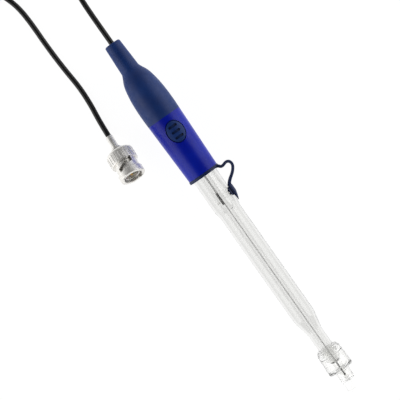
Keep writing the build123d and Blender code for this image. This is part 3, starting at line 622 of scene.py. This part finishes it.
# %% ABS
def moulded_abs():
    """Orange peel of 1.7 mm over ripples of 0.5 mm, and a gloss that handling has blurred."""
    material, tree, shader = surface("moulded_blue_abs", IOR=1.53, Specular_IOR_Level=0.2)
    vector = place(tree)
    connect(tree, shader, Base_Color=tone(tree, vector, 14.0, "#0518a6", "#0723b4"),
            Roughness=spread(tree, vector, 1.2, 0.3, 0.38, 4.0),
            Normal=skin_relief(tree, vector, (0.5, 0.004, 2.0), (1.7, 0.012, 2.0)))
    return material


abs_blue = moulded_abs()
print("plastic", abs_blue.name)

# %% [markdown]
# ### Glass
# The body is drawn borosilicate tube.  Drawing leaves very fine, very long ripples along the tube,
# which break up what is seen through it.  The stem and the inner tube have thin walls, which are
# clearer than the body's.  The membrane bulb is another glass, blown by mouth, so its ripples are
# round rather than long.  The reflections are kept weaker than real glass has them, so that the
# tubes stay light and quiet against the white table.


# %% Glasses
def drawn_glass(name, tint, ior, ripple_mm, ripple_depth_mm, stretch=(0.04, 1, 1)):
    """Clear glass with ripples.  The stretch draws them out along the tube, 25 times as long as
    they are wide."""
    material, tree, shader = surface(name, IOR=ior, Roughness=0.01, Transmission_Weight=1.0,
                                     Specular_IOR_Level=0.05, Base_Color=linear(tint))
    vector = place(tree, shaft_middle, electrode_axis, stretch)
    connect(tree, shader, Normal=skin_relief(tree, vector, (ripple_mm, ripple_depth_mm, 1.0)))
    return material


borosilicate = drawn_glass("drawn_borosilicate_glass", "#e9e9e8", 1.473, 2.2, 0.004)
thin_glass = drawn_glass("thin_drawn_glass", "#ffffff", 1.473, 2.2, 0.003)
membrane = drawn_glass("blown_membrane_glass", "#fefefd", 1.51, 1.4, 0.003, (1, 1, 1))
print("glasses", borosilicate.name, thin_glass.name, membrane.name)

# %% [markdown]
# ### Soft clear vinyl
# The wetting cap is dip-moulded vinyl.  It is clear, but its skin is satin and a little uneven
# from the dipping, so it blurs whatever lies behind it and looks pale against clear glass.


# %% Vinyl
def dipped_vinyl():
    """Clear plastic that blurs what is behind it by its roughness, with soft dips of 1.1 mm."""
    material, tree, shader = surface("dipped_clear_vinyl", IOR=1.53, Transmission_Weight=1.0,
                                     Specular_IOR_Level=0.05, Base_Color=linear("#fcfcfb"))
    vector = place(tree)
    connect(tree, shader, Roughness=spread(tree, vector, 1.5, 0.14, 0.22),
            Normal=skin_relief(tree, vector, (1.1, 0.02, 2.0)))
    return material


vinyl = dipped_vinyl()
print("vinyl", vinyl.name)

# %% [markdown]
# ### Nickel plate and other metals
# The plug is brass, turned on a lathe and nickel plated.  Turning leaves rings round the axis, so
# the pattern is noise that changes only along the plug's axis.  Nickel is a warm grey mirror that
# the rings smear sideways, and fingers dull it in patches.  Its rings are drawn 0.4 mm apart,
# coarser than a lathe's real feed, so that they show.  The silver wire in the stem is a special
# case.  Bare silver would mirror the dark overhead and draw a black line in the clear stem, where
# it should hardly show, so its finish is paler and more matt than the metal's own: a metallic
# value near zero and a high roughness.


# %% Metals
RING_MM, RING_DEPTH_MM = 0.4, 0.002


def turned_metal(name, dark, light, rough_low, rough_high, metallic=1.0):
    """Rings round the plug's axis: the noise is stretched to nothing across the axis, so that it
    changes only along it.  Tone and gloss drift in patches of two to three millimetres."""
    material, tree, shader = surface(name, Metallic=metallic)
    along_axis = place(tree, plug_centre, plug_axis, (1, 0, 0))
    vector = place(tree, plug_centre, plug_axis)
    connect(tree, shader, Base_Color=tone(tree, vector, 3.0, dark, light),
            Roughness=spread(tree, vector, 2.2, rough_low, rough_high, 4.0),
            Normal=skin_relief(tree, along_axis, (RING_MM, RING_DEPTH_MM, 3.0)))
    return material


nickel = turned_metal("nickel_plated_brass", "#e8e6e2", "#f8f6f2", 0.42, 0.55)
spring_steel = turned_metal("rolled_spring_steel", "#85878a", "#9a9c9e", 0.25, 0.38)
gold = turned_metal("gold_plated_brass", "#cf9f52", "#e6bd72", 0.14, 0.24)
silver = turned_metal("drawn_silver_wire", "#f8f7f5", "#ffffff", 0.5, 0.65, metallic=0.1)
print("metals", nickel.name, spring_steel.name, gold.name, silver.name)

# %% [markdown]
# ### Copper braid
# The cable's shield is a braid of tinned copper wires.  Two sets of wires cross each other, which
# gives a bright basket pattern.  Two wave textures, turned to each side of the cable's axis, stand
# for the two sets, and the higher of the two is the wire that lies on top.

# %% Braid
BAND_MM = 0.94248  # from wire to wire, coarser than the real one, so that it shows
BANDS_IN_A_METRE = 20 / (2 * math.pi)  # what a wave texture of scale 1 draws
BRAID_ANGLE = 0.7


def braided_copper():
    """Relief from the greater of two band patterns, turned by plus and minus the braid's angle."""
    material, tree, shader = surface("tinned_copper_braid", Metallic=1.0, Roughness=0.34)
    vector = place(tree, shaft_middle, electrode_axis)
    turned = [add(tree, "ShaderNodeMapping", {"Vector": vector, "Rotation": (turn, 0, turn)})
              for turn in (BRAID_ANGLE, -BRAID_ANGLE)]
    waves = [add(tree, "ShaderNodeTexWave",
                 {"Vector": mapping.outputs["Vector"],
                  "Scale": per_metre(BAND_MM) / BANDS_IN_A_METRE}, wave_type="BANDS")
             for mapping in turned]
    woven = add(tree, "ShaderNodeMath", {0: waves[0].outputs["Fac"], 1: waves[1].outputs["Fac"]},
                operation="MAXIMUM")
    bump = add(tree, "ShaderNodeBump",
               {"Height": woven.outputs["Value"], "Distance": 0.06 * MM})
    connect(tree, shader, Base_Color=tone(tree, vector, 0.8, "#9b9892", "#c3c0ba"),
            Normal=bump.outputs["Normal"])
    return material


braid = braided_copper()
print("shield", braid.name)

# %% [markdown]
# ### The lead's jacket
# The jacket is black PVC, extruded over the braid.  Extrusion leaves a satin skin that is not
# quite smooth, and the braid under it shows through as a very shallow texture.  The recipe also
# serves every other plain material, because each is a matt or satin skin with fine grain.


# %% Jacket
def pitted(name, dark, light, rough_low, rough_high, tone_mm=4.0, grain_mm=0.3, depth_mm=0.02,
           **sockets):
    """A matt or satin finish: two near tones, a roughness that drifts over half their size, and
    fine grain."""
    material, tree, shader = surface(name, **sockets)
    vector = place(tree)
    connect(tree, shader, Base_Color=tone(tree, vector, tone_mm, dark, light),
            Roughness=spread(tree, vector, tone_mm / 2, rough_low, rough_high),
            Normal=skin_relief(tree, vector, (grain_mm, depth_mm, 2.0)))
    return material


jacket = pitted("extruded_black_pvc", "#060606", "#0c0c0d", 0.35, 0.48, 6.0, 0.45, 0.03, IOR=1.53,
                Specular_IOR_Level=0.35)
print("jacket", jacket.name)

# %% [markdown]
# ### Seals, sleeves, potting and ceramics
# Inside the handle and the plug are plain technical materials.  Cast epoxy is glossy and black,
# nitrile rubber is dull, nylon and polyethylene are milky, PTFE is waxy, a sintered ceramic is
# dead matt, silicone is clear and soft, and a wire coated with silver chloride is dark and
# velvety.  Each is one line of numbers for the same recipe.

# %% Seals, sleeves, potting and ceramics
silver_chloride = pitted("anodised_silver_chloride", "#191818", "#2c2a29", 0.7, 0.9, 0.8, 0.1,
                         0.03)
epoxy = pitted("cast_black_epoxy", "#14120f", "#221e19", 0.12, 0.25, 5.0, 2.0, 0.01, IOR=1.55)
silicone = pitted("moulded_silicone", "#fdfdfc", "#ffffff", 0.2, 0.3, 3.0, 0.4, 0.01,
                  IOR=1.41, Transmission_Weight=1.0, Specular_IOR_Level=0.1)
nitrile = pitted("moulded_nitrile_rubber", "#101112", "#1b1c1d", 0.5, 0.65)
nylon = pitted("moulded_natural_nylon", "#d8d2c0", "#e5e0d1", 0.35, 0.5, IOR=1.53)
polyethylene = pitted("extruded_polyethylene", "#dcdcd6", "#ebebe6", 0.3, 0.45, IOR=1.51)
shrink = pitted("shrunk_polyolefin_sleeve", "#0e0e10", "#1a1a1d", 0.4, 0.55)
ceramic = pitted("sintered_porous_ceramic", "#d9d3c4", "#efeadf", 0.85, 0.95, 0.3, 0.08, 0.03)
ptfe = pitted("turned_ptfe", "#dedbd4", "#efece6", 0.35, 0.5, 2.0, 0.25, 0.006, IOR=1.38,
              Subsurface_Weight=0.1, Subsurface_Scale=0.001)
print("materials so far", len(bpy.data.materials))

# %% [markdown]
# ## Which part is made of what
# The record names each CAD node's material.  One table gives the finish that stands for each of
# those names, so a part cannot be missed.

# %% Give every node its finish
FINISH = {
    "navy_rubber": rubber, "blue_plastic": abs_blue, "borosilicate_glass": borosilicate,
    "membrane_glass": membrane, "porous_ceramic": ceramic, "silver": silver,
    "silver_chloride": silver_chloride, "epoxy": epoxy, "silicone": silicone, "nitrile": nitrile,
    "nylon": nylon, "cable_jacket": jacket, "tinned_copper": braid, "polyethylene": polyethylene,
    "shrink_sleeve": shrink, "clear_vinyl": vinyl, "nickel_plate": nickel,
    "spring_steel": spring_steel, "ptfe": ptfe, "gold_plate": gold}
for node in nodes.values():
    for slot in node.material_slots:
        slot.material = FINISH[slot.material.name.split(".")[0]]
nodes["strap_ring"].material_slots[0].material = strap_rubber
for name in ("ph_stem", "reference_chamber"):
    nodes[name].material_slots[0].material = thin_glass
lead.data.materials.append(jacket)
spring.data.materials.append(spring_steel)
strap.data.materials.append(strap_rubber)
stopper.data.materials.append(strap_rubber)
print("finishes", len(FINISH))

# %% [markdown]
# ## The table
# The object lies on a plain white table.  The table glows, as a lit table does, and its own paper
# is grey, so that it stays evenly white and the shadows on it are faint.

# %% Table
TABLE_HALF = 1.5
TABLE_GLOW = 0.96
corner_signs = ((-1, -1), (1, -1), (1, 1), (-1, 1))
table_mesh = bpy.data.meshes.new("table")
table_mesh.from_pydata([(x * TABLE_HALF, y * TABLE_HALF, 0) for x, y in corner_signs],
                       [], [(0, 1, 2, 3)])
table = link(bpy.data.objects.new("table", table_mesh))
paper, _, _ = surface("white_paper", Roughness=0.8, Base_Color=linear("#606060"),
                      Emission_Color=(1, 1, 1, 1), Emission_Strength=TABLE_GLOW)
table_mesh.materials.append(paper)
print("table", 2 * TABLE_HALF, "m wide")

# %% [markdown]
# ## The light tent
# The table stands in a white tent: light comes from all round, less from straight above, where
# the camera is.  That dark patch overhead gives round, glossy things a darker line along their
# middle.  Clear glass would pick the dark patch up as specks, so for light that has been through
# glass the tent is evenly bright.  A world shader does this with no walls to model: the height of
# each direction sets how bright the tent is there.

# %% Light tent
TENT_STRENGTH = 0.5
OVERHEAD_SHARE = 0.08  # what is left of the tent's light straight above
DIM_FROM, DIM_TO = 0.35, 0.78  # the tent dims between these heights on a sphere of radius 1
SEEN_THROUGH_GLASS = 0.85  # the tent's even strength for light that has been through glass
world = bpy.data.worlds.new("light_tent")
world.use_nodes = True
bpy.context.scene.world = world
tent = world.node_tree
tent.nodes.clear()
direction = add(tent, "ShaderNodeTexCoord").outputs["Generated"]
upwards = add(tent, "ShaderNodeSeparateXYZ", {"Vector": direction}).outputs["Z"]
overhead = add(tent, "ShaderNodeMapRange",
               {"Value": upwards, "From Min": DIM_FROM, "From Max": DIM_TO,
                "To Min": TENT_STRENGTH, "To Max": TENT_STRENGTH * OVERHEAD_SHARE},
               interpolation_type="SMOOTHSTEP")
through_glass = add(tent, "ShaderNodeLightPath").outputs["Transmission Depth"]
glass_share = add(tent, "ShaderNodeMapRange",
                  {"Value": through_glass, "To Max": SEEN_THROUGH_GLASS})
strength = add(tent, "ShaderNodeMath",
               {0: overhead.outputs["Result"], 1: glass_share.outputs["Result"]},
               operation="MAXIMUM")
sky = add(tent, "ShaderNodeBackground",
          {"Color": (1, 1, 1, 1), "Strength": strength.outputs["Value"]})
add(tent, "ShaderNodeOutputWorld", {"Surface": sky.outputs["Background"]})
print("tent nodes", len(tent.nodes))

# %% [markdown]
# ### Softboxes
# Two large, weak lamps low on both sides give the plug and the edges of the boot some shape.
# Small lamps would leave hard points of light in the glass.  The lamps stay out of the camera's
# sight.

# %% Softboxes
SOFTBOX_ELEVATION = math.radians(22)
SOFTBOX_DISTANCE, SOFTBOX_SIZE = 1.1, 1.1
SOFTBOX_POWER = 6.0


def softbox(name, azimuth):
    """A square area light that looks at the camera's aim from an azimuth a and the elevation e,
    which is the direction (sin a cos e, -cos a cos e, sin e)."""
    light = bpy.data.lights.new(name, "AREA")
    light.size, light.energy = SOFTBOX_SIZE, SOFTBOX_POWER
    box = link(bpy.data.objects.new(name, light))
    level, height = math.cos(SOFTBOX_ELEVATION), math.sin(SOFTBOX_ELEVATION)
    away = Vector((math.sin(azimuth) * level, -math.cos(azimuth) * level, height))
    box.location = CAMERA_AIM + away * SOFTBOX_DISTANCE
    box.visible_camera = False
    box.rotation_mode = "QUATERNION"
    box.rotation_quaternion = (-away).to_track_quat("-Z", "Y")
    return box


softboxes = [softbox("left_softbox", 0.0), softbox("right_softbox", math.pi)]
print("softboxes at", [in_mm(box.location) for box in softboxes])

# %% [markdown]
# ## View and light paths
# The Standard view shows colours as they were written.  Light that enters tubes inside tubes
# crosses many walls, so its path may be long, and no path is dropped early, because that would
# leave bright and dark specks in the glass.

# %% View and light paths
MOST_BOUNCES = 32
KEPT_BOUNCES = 24
scene = bpy.context.scene
scene.view_settings.view_transform = "Standard"
scene.view_settings.look = "None"
scene.cycles.max_bounces = MOST_BOUNCES
scene.cycles.transmission_bounces = MOST_BOUNCES
scene.cycles.transparent_max_bounces = MOST_BOUNCES
scene.cycles.min_light_bounces = KEPT_BOUNCES
print("view", scene.view_settings.view_transform, "bounces", scene.cycles.max_bounces)

# %% [markdown]
# ## The end
# The finished model has to stay in the CAD model's box.

# %% Finish
bpy.context.view_layer.update()
